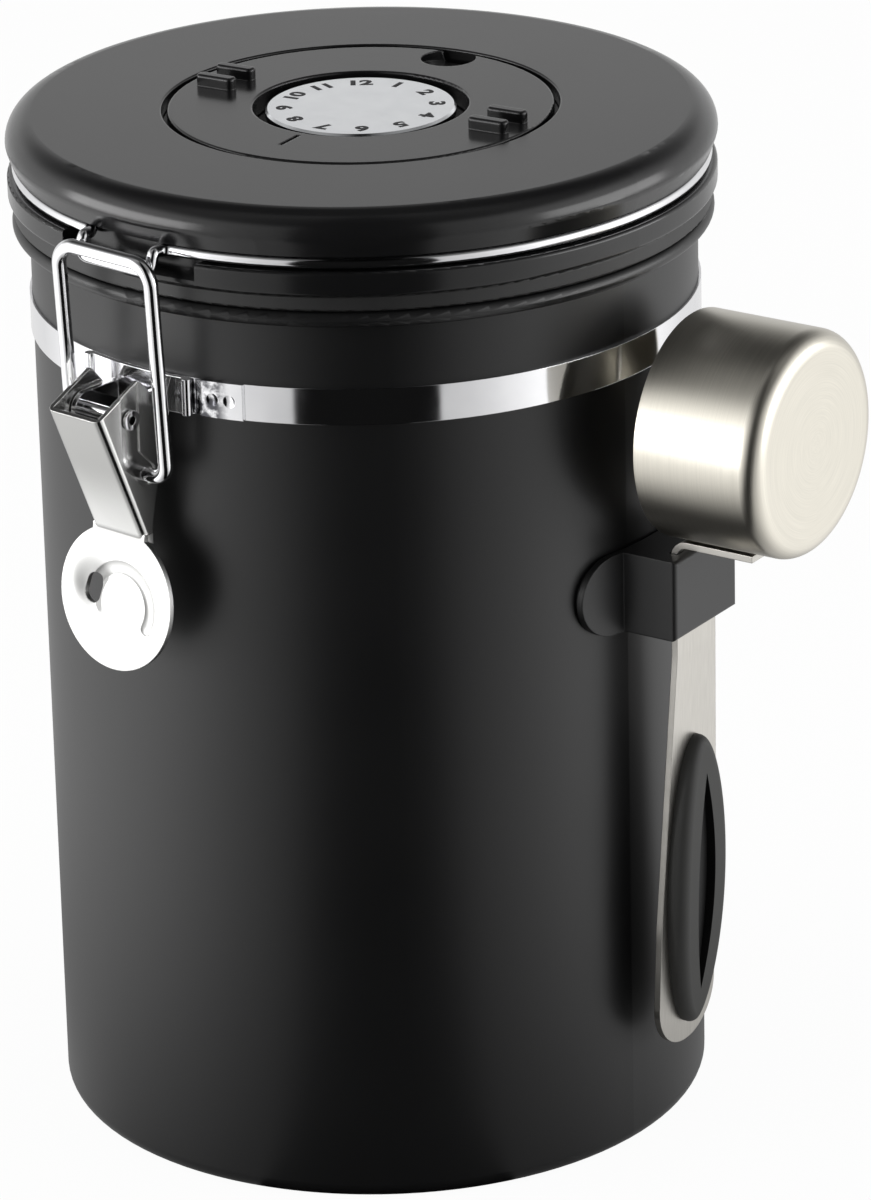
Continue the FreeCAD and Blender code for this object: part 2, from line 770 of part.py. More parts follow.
def lid_cap():
    inner = groove_floor_radius + close_fit
    under = cap_top - cap_wall
    lip_bottom = well_floor + well_undercut_height
    section = [
        (0, floor_bottom, 0),
        (well_outer, floor_bottom, cap_wall / 2),
        (well_outer, under, 0),
        (inner, under, cap_wall / 2),
        (inner, cap_bottom, 0),
        (cap_lower_radius, cap_bottom, 0),
        (cap_widest_radius, cap_bottom + cap_widest_height, cap_widest_height),
        (cap_widest_radius, cap_top, cap_round),
        (well_radius, cap_top, well_edge_round),
        (well_radius, lip_bottom, 0),
        (well_radius + well_undercut, lip_bottom, 0),
        (well_radius + well_undercut, well_floor, 0),
        (hub_radius, well_floor, 0),
        (hub_radius, disc_bottom(), 0),
        (0, disc_bottom(), 0),
    ]
    cap = turned(section)
    notch_low = cap_bottom - cap_notch_height
    notch_high = cap_bottom + cap_notch_height
    notch = front_plate([
        (-cap_notch_half_width, notch_low, 0),
        (cap_notch_half_width, notch_low, 0),
        (cap_notch_half_width, notch_high, cap_notch_round),
        (-cap_notch_half_width, notch_high, cap_notch_round),
    ], body_radius, cap_widest_radius + overrun)
    notch = notch.cut(disc(cap_widest_radius - cap_notch_depth, notch_low, notch_high))
    cap = cap.cut(spun(notch, cap_notch_turn))
    vent = post(vent_radius, vent_pitch_radius, floor_bottom, well_floor)
    for cutter in ring_of(vent, vent_count):
        cap = cap.cut(cutter)
    cap = cap.cut(disc(disc_spigot_radius + close_fit, disc_bottom() - disc_spigot_length, cap_top))
    boss = post(boss_radius, screw_pitch_radius, plug_floor, under + close_fit)
    boss = boss.cut(post(screw_radius, screw_pitch_radius, plug_floor, plug_floor + screw_bite))
    for copy in ring_of(boss, screw_count):
        cap = cap.fuse(spun(copy, half_turn / screw_count))
    return cap.removeSplitter()


def disc_bottom():
    return cap_top - disc_set_down - disc_thickness


def date_ring():
    bottom = well_floor + ring_floor_gap
    top = cap_top - ring_set_down
    outer = well_radius - ring_gap
    flange = well_radius + well_undercut - ring_flange_gap
    flange_z = well_floor + well_undercut_height - ring_flange_gap
    ring = turned([
        (ring_bore_radius, bottom, 0),
        (flange, bottom, 0),
        (flange, flange_z, 0),
        (outer, flange_z, 0),
        (outer, top, ring_edge_round),
        (ring_bore_radius, top, ring_edge_round),
    ])
    bar = front_box(grip_radius - grip_length / 2, grip_radius + grip_length / 2,
                    (grip_spacing - grip_width) / 2, (grip_spacing + grip_width) / 2,
                    top - ring_edge_round, top + grip_rise)
    bar = bar.makeFillet(grip_corner, upright_edges(bar, z_axis))
    crown = [edge for edge in bar.Edges if edge.BoundBox.ZMin > top]
    bar = bar.makeFillet(grip_round, crown)
    for piece in mirrored_pair(bar):
        for turn_angle in (-quarter_turn, quarter_turn):
            ring = ring.fuse(spun(piece, turn_angle))
    mark_half = mark_width / 2
    mark = front_box(mark_inner, mark_outer, -mark_half, mark_half, top - mark_depth, top + overrun)
    ring = ring.cut(mark)
    pry_floor = front(pry_reach, 0, top - pry_depth)
    pry = Part.makeCylinder(pry_radius, pry_depth * 2 + overrun, pry_floor)
    pry.rotate(pry_floor, x_axis, pry_tilt)
    ring = ring.cut(spun(pry, half_turn))
    return spun(ring.removeSplitter(), ring_turn)


def date_disc():
    bottom = disc_bottom()
    top = cap_top - disc_set_down
    plate = turned([
        (0, bottom, 0),
        (disc_radius, bottom, 0),
        (disc_radius, top - disc_chamfer, 0),
        (disc_radius - disc_chamfer, top, 0),
        (0, top, 0),
    ])
    spigot = disc(disc_spigot_radius, bottom - disc_spigot_length, bottom)
    return plate.fuse(spigot).removeSplitter()


def lid_gasket():
    seat = body_height + seal_gap
    inner = plug_radius + gasket_fit
    outer = body_radius + rim_overhang - gasket_set_back / 2
    lip_outer = body_radius - body_wall - lip_clearance
    lip_bottom = plug_bottom + plug_lip_height + plug_lip + gasket_fit
    lip_in = lip_outer - fin_reach
    middle = (lip_bottom + seat) / 2
    return turned([
        (inner, lip_bottom, 0),
        (lip_in, lip_bottom, 0),
        (lip_outer, lip_bottom + fin_height / 2, 0),
        (lip_in, lip_bottom + fin_height, 0),
        (lip_in, middle, 0),
        (lip_outer, middle + fin_height / 2, 0),
        (lip_in, middle + fin_height, 0),
        (lip_in, seat, 0),
        (outer, seat, gasket_round),
        (outer, flange_bottom, gasket_round),
        (inner, flange_bottom, 0),
    ])


def valve_body():
    """A cup pressed into the plug from below: a web with holes, a rim above it, a filter seat below."""
    web_bottom = filter_top() + filter_gap
    filter_bore = filter_radius + filter_gap
    flange_low = plug_bottom - valve_flange_thickness
    rim_top = plug_floor + valve_rim_height
    body = turned([
        (0, web_bottom, 0),
        (filter_bore, web_bottom, 0),
        (filter_bore, flange_low, 0),
        (valve_radius + valve_flange, flange_low, valve_flange_thickness / 2),
        (valve_radius + valve_flange, plug_bottom, 0),
        (valve_radius, plug_bottom, 0),
        (valve_radius, plug_floor, 0),
        (valve_rim_radius, plug_floor, 0),
        (valve_rim_radius, rim_top, 0),
        (valve_rim_radius - valve_rim_wall, rim_top, 0),
        (valve_rim_radius - valve_rim_wall, valve_seat, 0),
        (0, valve_seat, 0),
    ])
    hole = post(valve_hole_radius, valve_hole_pitch, web_bottom, valve_seat)
    for cutter in ring_of(hole, valve_hole_count):
        body = body.cut(cutter)
    body = body.cut(disc(stem_radius + stem_clearance, web_bottom, valve_seat))
    return body.cut(disc(barb_radius + stem_clearance, web_bottom, web_bottom + barb_room))


def filter_top():
    return plug_bottom + grille_thickness + filter_thickness


def valve_disc():
    """The silicone umbrella: a thin dome, and a stem with a barb below the web."""
    seat = valve_seat + umbrella_seat_gap
    barb_bottom = filter_top() + filter_gap + umbrella_seat_gap
    barb_top = barb_bottom + barb_height
    top = seat + umbrella_thickness
    return turned([
        (0, barb_bottom, 0),
        (barb_radius, barb_bottom, 0),
        (barb_radius, barb_top, 0),
        (stem_radius, barb_top, 0),
        (stem_radius, seat, 0),
        (umbrella_radius, seat, 0),
        (umbrella_radius, seat + umbrella_thickness / 2, 0),
        (stem_radius, top, 0),
        (0, top, 0),
    ])


def valve_cap():
    rim_top = plug_floor + valve_rim_height
    inner = valve_rim_radius + close_fit
    outer = inner + valve_cap_wall
    bottom = rim_top - valve_rim_height / 2
    cap = turned([
        (0, rim_top, 0),
        (inner, rim_top, 0),
        (inner, bottom, 0),
        (outer, bottom, 0),
        (outer, rim_top + valve_cap_wall, valve_cap_wall / 2),
        (0, rim_top + valve_cap_wall, 0),
    ])
    hole = post(valve_hole_radius, valve_hole_pitch, rim_top, rim_top + valve_cap_wall)
    for cutter in ring_of(hole, valve_hole_count):
        cap = cap.cut(cutter)
    return cap


def filter_pad():
    return disc(filter_radius, plug_bottom + grille_thickness, filter_top())


def filter_grille():
    top = plug_bottom + grille_thickness
    grille = disc(filter_radius + filter_gap - close_fit, plug_bottom, top)
    holes = []
    for ring_index in range(1, grille_rings + 1):
        hole = post(grille_hole_radius, grille_pitch * ring_index, plug_bottom, top)
        holes += ring_of(hole, grille_first_count * ring_index)
    for cutter in holes:
        grille = grille.cut(cutter)
    return grille


def lid_screws():
    head = post(screw_head_radius, screw_pitch_radius, plug_bottom, plug_bottom + screw_head_height)
    shank_top = plug_floor + screw_bite - screw_head_height
    shank = post(screw_radius - close_fit, screw_pitch_radius, plug_bottom, shank_top)
    socket = post(screw_socket_radius, screw_pitch_radius, plug_bottom, plug_bottom + screw_socket_depth)
    screw = head.fuse(shank).cut(socket).removeSplitter()
    return Part.makeCompound([spun(copy, half_turn / screw_count) for copy in ring_of(screw, screw_count)])


def stadium(half_length, bottom, top, r_back, r_front):
    """A plate with round ends at the front, between two depths."""
    round_end = (top - bottom) / 2 - close_fit
    return front_plate([
        (-half_length, bottom, round_end),
        (half_length, bottom, round_end),
        (half_length, top, round_end),
        (-half_length, top, round_end),
    ], r_back, r_front)


def holder_pad():
    outer = body_radius + holder_pad_thickness
    pad = tube(body_radius + close_fit, outer, holder_bottom, holder_top)
    inset = holder_pad_thickness
    half = holder_plate_half_length - inset
    shape = stadium(half, holder_bottom + inset, holder_top - inset, 0, outer + overrun)
    return spun(pad.common(shape), scoop_angle)


def scoop_holder():
    plate_in = body_radius + holder_pad_thickness
    plate_out = plate_in + holder_plate_thickness
    plate = tube(plate_in, plate_out, holder_bottom, holder_top)
    reach = plate_out + overrun
    plate = plate.common(stadium(holder_plate_half_length, holder_bottom, holder_top, 0, reach))
    half = holder_half_width
    block = front_box(body_radius, holder_front, -half, half, holder_bottom, holder_top)
    outer_edges = [edge for edge in block.Edges if edge.BoundBox.YMax < -holder_front + least_edge]
    block = block.makeFillet(holder_corner_radius, outer_edges)
    block = block.cut(disc(plate_in, holder_bottom, holder_top))
    slot_side = -neck_half_width - slide_gap
    slot = front_box(slot_back, slot_front, slot_side, half + overrun, holder_bottom, holder_top)
    holder = plate.fuse(block).cut(slot).removeSplitter()
    return spun(holder, scoop_angle)


def paddle_outline():
    """The handle seen from the front: a narrow neck that widens to a paddle with a round end."""
    end_round = paddle_half_width * end_round_share
    tab_top = tab_under + strip_gauge
    return [
        (-neck_half_width, tab_top, 0),
        (-neck_half_width, lean_top, lean_radius),
        (-paddle_half_width, paddle_widest_height, lean_radius),
        (-paddle_half_width, paddle_end_height, end_round),
        (paddle_half_width, paddle_end_height, end_round),
        (paddle_half_width, paddle_widest_height, lean_radius),
        (neck_half_width, lean_top, lean_radius),
        (neck_half_width, tab_top, 0),
    ]


def bent_strip():
    """The bent strip with its window: paddle, neck and the tab that goes under the cup."""
    tab_top = tab_under + strip_gauge
    tab_end = strip_front + tab_length
    outer_bend = tab_bend_radius + strip_gauge
    low = paddle_end_height - overrun
    low_shift = (lean_top - low) * math.tan(math.radians(paddle_lean))
    side_view = [
        (strip_back, tab_top, outer_bend),
        (tab_end, tab_top, 0),
        (tab_end, tab_under, 0),
        (strip_front, tab_under, tab_bend_radius),
        (strip_front, lean_top, 0),
        (strip_front - low_shift, low, 0),
        (strip_back - low_shift, low, 0),
        (strip_back, lean_top, 0),
    ]
    strip = side_plate(side_view, -paddle_half_width, paddle_half_width)
    strip = strip.common(front_plate(paddle_outline(), 0, tab_end))
    return strip.cut(leaning(leaf_plate(window_inset, 0, tab_end)))


def scoop_handle():
    """The strip, with a saddle cut in its tab where the cup is welded on."""
    seat = Part.makeCylinder(cup_radius, cup_depth, front(cup_rim, 0, cup_z), FreeCAD.Vector(0, -1, 0))
    return spun(bent_strip().cut(seat).removeSplitter(), scoop_angle)


def lens(half_width, bottom, top, r_back, r_front):
    """A plate shaped like a long lens: two arcs that meet in points."""
    middle = (bottom + top) / 2
    low = front(r_back, 0, bottom)
    high = front(r_back, 0, top)
    right = Part.Arc(low, front(r_back, half_width, middle), high).toShape()
    left = Part.Arc(high, front(r_back, -half_width, middle), low).toShape()
    return Part.Face(Part.Wire([right, left])).extrude(FreeCAD.Vector(0, r_back - r_front, 0))


def leaf_plate(inset, r_back, r_front):
    """A plate with the grip's long oval outline, drawn in by the inset, between two depths."""
    half_length = (leaf_top - leaf_bottom) / 2 - inset
    oval = Part.Ellipse(centre, half_length, leaf_half_width - inset).toShape()
    oval.rotate(centre, z_axis, quarter_turn)
    oval.rotate(centre, x_axis, quarter_turn)
    oval.translate(front(r_back, 0, (leaf_bottom + leaf_top) / 2))
    return Part.Face(Part.Wire(oval)).extrude(FreeCAD.Vector(0, r_back - r_front, 0))


def leaning(shape):
    """The shape tipped with the paddle, whose lower end leans in towards the wall."""
    copy = shape.copy()
    copy.rotate(front(strip_front, 0, lean_top), x_axis, paddle_lean)
    return copy


def scoop_grip():
    """The grip moulded through the strip's window: a crown in front, a thin pad behind."""
    crown_front = strip_front + leaf_crown
    middle = (leaf_bottom + leaf_top) / 2
    bow_radius = ((leaf_top - middle) ** 2 + leaf_end_fall ** 2) / (leaf_end_fall * 2)
    bow = cross_pin(bow_radius, crown_front - bow_radius, middle, -leaf_half_width, leaf_half_width)
    crown = leaf_plate(0, strip_front, crown_front + overrun).common(bow)
    rim = [edge for edge in crown.Edges if edge.BoundBox.YMax < -strip_front - least_edge]
    crown = crown.makeFillet(leaf_edge_radius, rim)
    recess = lens(recess_half_width, leaf_bottom + recess_end_inset, leaf_top - recess_end_inset,
                  crown_front - recess_depth, crown_front + overrun)
    core = leaf_plate(window_inset, strip_back, strip_front)
    pad = leaf_plate(leaf_back_inset, strip_back - leaf_back, strip_back)
    grip = crown.cut(recess).fuse(core).fuse(pad)
    return spun(leaning(grip.removeSplitter()), scoop_angle)


def scoop_cup():
    inner = cup_radius - cup_wall
    section = [
        (inner, 0, 0),
        (cup_radius, 0, 0),
        (cup_radius, cup_depth, cup_corner_radius),
        (0, cup_depth, 0),
        (0, cup_depth - cup_wall, 0),
        (inner, cup_depth - cup_wall, cup_corner_radius - cup_wall),
    ]
    cup = turned(section)
    cup.rotate(centre, x_axis, quarter_turn)
    cup.translate(front(cup_rim, 0, cup_z))
    return spun(cup, scoop_angle)


pieces = {
    "canister_body": canister_body,
    "clamp_band": clamp_band,
    "latch_bracket": latch_bracket,
    "lever_rivet": lever_rivet,
    "latch_lever": latch_lever,
    "latch_bail": latch_bail,
    "hinge_bracket": hinge_bracket,
    "lid_base": lid_base,
    "lid_cap": lid_cap,
    "lid_wire": lid_wire,
    "lid_gasket": lid_gasket,
    "lid_screws": lid_screws,
    "date_ring": date_ring,
    "date_disc": date_disc,
    "valve_body": valve_body,
    "valve_disc": valve_disc,
    "valve_cap": valve_cap,
    "filter_pad": filter_pad,
    "filter_grille": filter_grille,
    "scoop_holder": scoop_holder,
    "holder_pad": holder_pad,
    "scoop_handle": scoop_handle,
    "scoop_grip": scoop_grip,
    "scoop_cup": scoop_cup,
}
os.makedirs("parts", exist_ok=True)
for node, build in pieces.items():
    build().exportStep("parts/" + node + ".step")
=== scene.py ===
import bpy
import math
from mathutils import Matrix, Vector


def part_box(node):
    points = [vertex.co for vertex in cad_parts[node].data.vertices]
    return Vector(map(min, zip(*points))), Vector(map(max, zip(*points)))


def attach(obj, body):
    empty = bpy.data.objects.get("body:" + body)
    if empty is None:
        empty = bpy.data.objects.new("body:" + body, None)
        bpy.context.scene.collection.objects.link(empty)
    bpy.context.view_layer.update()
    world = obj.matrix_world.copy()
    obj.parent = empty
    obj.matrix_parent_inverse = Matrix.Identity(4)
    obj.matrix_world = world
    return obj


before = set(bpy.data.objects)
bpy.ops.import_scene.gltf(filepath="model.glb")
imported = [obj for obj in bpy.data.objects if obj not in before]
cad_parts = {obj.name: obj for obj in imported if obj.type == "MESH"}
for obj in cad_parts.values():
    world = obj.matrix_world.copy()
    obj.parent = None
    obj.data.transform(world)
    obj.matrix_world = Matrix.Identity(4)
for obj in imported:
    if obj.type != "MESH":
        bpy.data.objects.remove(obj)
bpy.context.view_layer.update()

# Canister body
# A can drawn from sheet steel, with its rim rolled outward and its base pressed to stand flat.
# It is powder coated matte black all over, which leaves a fine pebbled skin on the steel.
coat_dark = (0.0040, 0.0040, 0.0043, 1.0)
coat_light = (0.0058, 0.0058, 0.0061, 1.0)
coat_roughness = 0.38
coat_gloss_spread = 0.06
coat_grain_size = 0.0006
coat_grain_height = 0.000006
coat_cloud_size = 0.035
grain_detail = 3.0
cloud_detail = 2.0
middle_share = 0.5
edge_samples = 6


def pick(sockets, name):
    """The socket at a number, or the first one in use that has a name."""
    if isinstance(name, int):
        return sockets[name]
    return next(socket for socket in sockets if socket.enabled and socket.name == name)


class Field:
    """A value, colour or vector that changes over a surface. Arithmetic on values adds Math nodes."""

    def __init__(self, finish, socket):
        self.finish = finish
        self.socket = socket

    def output(self, name):
        """Another output of the node that this one comes from."""
        return Field(self.finish, pick(self.socket.node.outputs, name))

    def maths(self, operation, first, second):
        return self.finish.node("ShaderNodeMath", {"operation": operation}, {0: first, 1: second})

    def __add__(self, other):
        return self.maths("ADD", self, other)

    def __radd__(self, other):
        return self.maths("ADD", other, self)

    def __sub__(self, other):
        return self.maths("SUBTRACT", self, other)

    def __rsub__(self, other):
        return self.maths("SUBTRACT", other, self)

    def __mul__(self, other):
        return self.maths("MULTIPLY", self, other)

    def __rmul__(self, other):
        return self.maths("MULTIPLY", other, self)

    def __truediv__(self, other):
        return self.maths("DIVIDE", self, other)

    def __rtruediv__(self, other):
        return self.maths("DIVIDE", other, self)

    def __neg__(self):
        return 0 - self

    def __abs__(self):
        return self.maths("ABSOLUTE", self, 0)


class Finish:
    """The nodes of a material or of the world, built up one after another."""

    def __init__(self, owner):
        owner.use_nodes = True
        self.owner = owner
        self.tree = owner.node_tree

    def plug(self, socket, value):
        """Links a field to a socket, or sets the socket to a number, colour or vector."""
        if isinstance(value, Field):
            self.tree.links.new(value.socket, socket)
        else:
            socket.default_value = value

    def node(self, kind, settings, sockets):
        """A new node of a type, with its settings and then its sockets' values or links."""
        made = self.tree.nodes.new(kind)
        for name, value in settings.items():
            setattr(made, name, value)
        for name, value in sockets.items():
            self.plug(pick(made.inputs, name), value)
        return Field(self, next(socket for socket in made.outputs if socket.enabled))

    def surface(self, sockets):
        """Sets or links sockets of the material's own shader."""
        shader = self.tree.nodes["Principled BSDF"]
        for name, value in sockets.items():
            self.plug(pick(shader.inputs, name), value)

    def held(self, name):
        """The field that feeds a socket of the material's own shader so far."""
        shader = self.tree.nodes["Principled BSDF"]
        return Field(self, pick(shader.inputs, name).links[0].from_socket)

    def measure(self, operation, *vectors):
        """A value taken from vectors, such as a length or a dot product."""
        sockets = dict(enumerate(vectors))
        return self.node("ShaderNodeVectorMath", {"operation": operation}, sockets).output("Value")

    def place(self):
        """The point on the piece, in metres, which stays with the piece when it moves."""
        return self.node("ShaderNodeTexCoord", {}, {}).output("Object")

    def split(self, vector):
        """The three values of a vector."""
        x = self.node("ShaderNodeSeparateXYZ", {}, {0: vector})
        return x, x.output("Y"), x.output("Z")

    def join(self, x, y, z):
        return self.node("ShaderNodeCombineXYZ", {}, {0: x, 1: y, 2: z})

    def grey(self, level):
        """A colour with the same level of red, green and blue."""
        return self.join(level, level, level)

    def noise(self, place, size, detail):
        return self.node("ShaderNodeTexNoise", {}, {"Vector": place, "Scale": 1 / size, "Detail": detail})

    def blend(self, share, first, second):
        return self.node("ShaderNodeMix", {"data_type": "RGBA"}, {"Factor": share, "A": first, "B": second})

    def step(self, value, low, high):
        """A smooth rise from 0 at the low value to 1 at the high one."""
        limits = {"Value": value, "From Min": low, "From Max": high}
        return self.node("ShaderNodeMapRange", {"interpolation_type": "SMOOTHSTEP"}, limits)

    def bump(self, height, depth, normal=None):
        """A normal tilted by a height, on top of another normal where one is given."""
        sockets = {"Height": height, "Distance": depth}
        if normal is not None:
            sockets["Normal"] = normal
        return self.node("ShaderNodeBump", {}, sockets)

    def eased_edges(self, radius):
        """A normal that turns softly over sharp edges."""
        return self.node("ShaderNodeBevel", {"samples": edge_samples}, {"Radius": radius})


def grained(name, colours, roughness, gloss_spread, grain_size, grain_height, cloud_size,
            edge_radius=None):
    """A skin with a fine pebbled grain and soft clouds of colour and gloss, and with eased edges
    where a radius is given."""
    finish = Finish(bpy.data.materials.new(name))
    place = finish.place()
    grain = finish.noise(place, grain_size, grain_detail)
    clouds = finish.noise(place, cloud_size, cloud_detail)
    uneven_gloss = (clouds - middle_share) * gloss_spread if gloss_spread else 0
    eased = finish.eased_edges(edge_radius) if edge_radius else None
    finish.surface({
        "Base Color": finish.blend(clouds, *colours),
        "Roughness": roughness + uneven_gloss,
        "Normal": finish.bump(grain, grain_height, eased),
    })
    return finish.owner


def dress(material, *nodes):
    """Gives a material to CAD nodes that are shown as they are."""
    for node in nodes:
        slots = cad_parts[node].data.materials
        slots.clear()
        slots.append(material)


black_coat = grained("black_powder_coat", (coat_dark, coat_light), coat_roughness, coat_gloss_spread,
                     coat_grain_size, coat_grain_height, coat_cloud_size)
dress(black_coat, "canister_body")

# Clamp band, brackets and rivet
# A strap of bright steel strip round the neck, lapped and spot welded. The latch and hinge plates
# are stamped from the same strip, and the rivet is a hollow eyelet, all polished and plated.
plate_colour = (0.92, 0.92, 0.93, 1.0)
plate_tarnish = (0.82, 0.82, 0.84, 1.0)
plate_roughness = 0.05
plate_haze = 0.07
plate_haze_size = 0.006
plate_ripple_size = 0.0045
plate_ripple_height = 0.000004
plate_edge_radius = 0.00018
# Painted reflection: dark mottled blotches on the strap in front of and beside the latch bracket.
blotch_reflection_colour = (0.10, 0.10, 0.11, 1.0)
blotch_reach = 0.0042
blotch_fade = 0.003
reflection_blotch_size = 0.0022
reflection_blotch_low_share = 0.36
reflection_blotch_high_share = 0.56


def polished(name, colours, roughness, haze, haze_size, ripple_size, ripple_height, edge_radius):
    """Bright plated metal: a faint haze, a little ripple from rolling, and eased edges."""
    finish = Finish(bpy.data.materials.new(name))
    place = finish.place()
    cloud = finish.noise(place, haze_size, cloud_detail)
    ripple = finish.noise(place, ripple_size, cloud_detail)
    finish.surface({
        "Metallic": 1.0,
        "Base Color": finish.blend(cloud, *colours),
        "Roughness": roughness + cloud * haze,
        "Normal": finish.bump(ripple, ripple_height, finish.eased_edges(edge_radius)),
    })
    return finish.owner


def bright_strip(name):
    """The bright plate of the strap and of what is stamped from the same strip."""
    return polished(name, (plate_colour, plate_tarnish), plate_roughness, plate_haze, plate_haze_size,
                    plate_ripple_size, plate_ripple_height, plate_edge_radius)


def welded_strap():
    """The strap's plate, with dark mottled blotches of painted reflection in front of and beside the
    bracket.
    """
    finish = Finish(bright_strip("welded_strap"))
    place = finish.place()
    x, y, _ = finish.split(place)
    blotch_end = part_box("latch_bracket")[1].x + blotch_reach
    in_front = finish.step(-y, 0, blotch_fade)
    beside = finish.step(x, 0, blotch_fade) * (1 - finish.step(x, blotch_end, blotch_end + blotch_fade))
    clouds = finish.noise(place, reflection_blotch_size, grain_detail)
    blotches = finish.step(clouds, reflection_blotch_low_share, reflection_blotch_high_share)
    # Painted reflection, mixed into the strap's colour as dark blotches.
    painted_reflection = in_front * beside * blotches
    finish.surface({"Base Color": finish.blend(painted_reflection, finish.held("Base Color"), blotch_reflection_colour)})
    return finish.owner


dress(welded_strap(), "clamp_band")
bright_plate = bright_strip("bright_plate")
dress(bright_plate, "latch_bracket", "hinge_bracket", "lever_rivet")

# Latch lever
# Thicker steel folded into a channel, with a round thumb tab dished and grooved in the press.
# It is plated like the strap, and its broad faces keep a little of the sheet's grain.
lever_colour = (0.84, 0.84, 0.83, 1.0)
lever_tarnish = (0.76, 0.76, 0.74, 1.0)
lever_roughness = 0.14
lever_haze = 0.10
lever_haze_size = 0.010
lever_ripple_size = 0.008
lever_ripple_height = 0.000010
lever_edge_radius = 0.00025
# Painted shade: the down-facing front is coloured darker, and the tab's top darkens towards the fold as a
# painted reflection of the bend.
front_shade_colour = (0.38, 0.38, 0.37, 1.0)
front_shade_lean_start_share = 0.25
front_shade_lean_end_share = 0.36
front_shade_start = 0.02227
front_shade_end = 0.04027
fold_above_foot = 0.02487
fold_fade = 0.001
neck_reflection_length = 0.006
neck_reflection_share = 0.75
worn_colour = (0.62, 0.62, 0.61, 1.0)
worn_roughness = 0.20
curl_side = 0.0014
curl_drop = 0.001
curl_radius = 0.0062
curl_edge = 0.0016
slot_side = -0.0052
slot_rise = 0.0018
dish_reach = 0.0060
dish_depth = 0.0020
lever_low, lever_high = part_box("latch_lever")


def tab_dish(finish):
    """How deep the sheet is dished round the tab's slot, outside the curl of its groove, from 0 to 1."""
    x, _, z = finish.split(finish.place())
    tab_radius = lever_high.x
    up = z - (lever_low.z + tab_radius - curl_drop)
    from_curl = finish.measure("LENGTH", finish.join(x - curl_side, up, 0))
    from_slot = finish.measure("LENGTH", finish.join(x - slot_side, up - slot_rise, 0))
    outside = finish.step(from_curl, curl_radius - curl_edge, curl_radius)
    return outside * (1 - finish.step(from_slot, 0, dish_reach))


def plated_lever():
    """The lever's bright plate, with painted shade that darkens its down-facing front, more so higher up,
    and a painted reflection that darkens the tab's top towards the fold; worn to a satin on the thumb tab."""
    finish = Finish(polished("plated_lever", (lever_colour, lever_tarnish), lever_roughness, lever_haze,
                             lever_haze_size, lever_ripple_size, lever_ripple_height, lever_edge_radius))
    facing = finish.node("ShaderNodeTexCoord", {}, {}).output("Normal")
    shade_facing_down = finish.step(-finish.split(facing)[2], front_shade_lean_start_share, front_shade_lean_end_share)
    above_foot = finish.split(finish.place())[2] - lever_low.z
    worn = 1 - finish.step(above_foot, fold_above_foot, fold_above_foot + fold_fade)
    near_fold = finish.step(above_foot, fold_above_foot - neck_reflection_length, fold_above_foot)
    # Painted reflection at the tab's bend, and painted shade on the down-facing front.
    neck = worn * near_fold * neck_reflection_share
    painted_front_shade = shade_facing_down * finish.step(above_foot, front_shade_start, front_shade_end)
    plate = finish.blend(worn, finish.held("Base Color"), worn_colour)
    finish.surface({
        "Base Color": finish.blend(neck + painted_front_shade * (1 - neck), plate, front_shade_colour),
        "Roughness": finish.held("Roughness") + worn * worn_roughness,
        "Normal": finish.bump(-tab_dish(finish), dish_depth, finish.held("Normal")),
    })
    return finish.owner


dress(plated_lever(), "latch_lever")

# Bail and lid wire
# Round drawn wire, bent and plated. The bail turns in the lever's walls, and the lid's wire is
# one closed ring in the lid's groove, with the catch in front and the hinge bar behind.
wire_colour = (0.90, 0.90, 0.91, 1.0)
wire_tarnish = (0.80, 0.80, 0.82, 1.0)
wire_roughness = 0.05
wire_haze = 0.06
wire_haze_size = 0.004
wire_ripple_size = 0.003
wire_ripple_height = 0.000003
bright_wire = polished("bright_wire", (wire_colour, wire_tarnish), wire_roughness, wire_haze,
                       wire_haze_size, wire_ripple_size, wire_ripple_height, plate_edge_radius)
dress(bright_wire, "latch_bail", "lid_wire")

# Lid base, cap and date ring
# Three black mouldings with a fine spark-eroded texture: a plug and flange, the cap that four plated
# screws hold to it, and the ring that turns in the cap's well.
moulding_dark = (0.0055, 0.0055, 0.0058, 1.0)
moulding_light = (0.0080, 0.0080, 0.0083, 1.0)
moulding_roughness = 0.19
moulding_gloss_spread = 0.05
moulding_grain_size = 0.00035
moulding_grain_height = 0.000004
moulding_cloud_size = 0.022
moulding_edge_radius = 0.00035


def moulded(name, roughness, edge_radius=None):
    """Black plastic as it leaves a textured mould."""
    return grained(name, (moulding_dark, moulding_light), roughness, moulding_gloss_spread,
                   moulding_grain_size, moulding_grain_height, moulding_cloud_size, edge_radius)


dress(moulded("black_moulding", moulding_roughness), "lid_base", "lid_cap")
dress(moulded("ring_moulding", moulding_roughness, moulding_edge_radius), "date_ring")
dress(bright_plate, "lid_screws")

# Gasket
# A ring of soft black silicone, moulded with two fins that close on the can's rim.
# It is pressed on the lid's plug, under the flange.
silicone_dark = (0.010, 0.010, 0.010, 1.0)
silicone_light = (0.018, 0.018, 0.018, 1.0)
silicone_roughness = 0.5
silicone_gloss_spread = 0.12
silicone_grain_size = 0.0008
silicone_grain_height = 0.000006
silicone_cloud_size = 0.009
black_silicone = grained("black_silicone", (silicone_dark, silicone_light), silicone_roughness,
                         silicone_gloss_spread, silicone_grain_size, silicone_grain_height,
                         silicone_cloud_size)
dress(black_silicone, "lid_gasket")

# Date disc
# A plate of satin silver over the vents, spun with a bright chamfer, and the twelve months
# printed round it in dark ink, each with its top towards the edge.
disc_colour = (0.96, 0.975, 0.995, 1.0)
disc_shade = (0.92, 0.94, 0.965, 1.0)
disc_roughness = 0.18
disc_gloss_spread = 0.10
disc_grain_size = 0.0003
disc_grain_height = 0.000004
disc_cloud_size = 0.004
silver_plate = grained("silver_plate", (disc_colour, disc_shade), disc_roughness, disc_gloss_spread,
                       disc_grain_size, disc_grain_height, disc_cloud_size)
Finish(silver_plate).surface({"Metallic": 1.0})
dress(silver_plate, "date_disc")

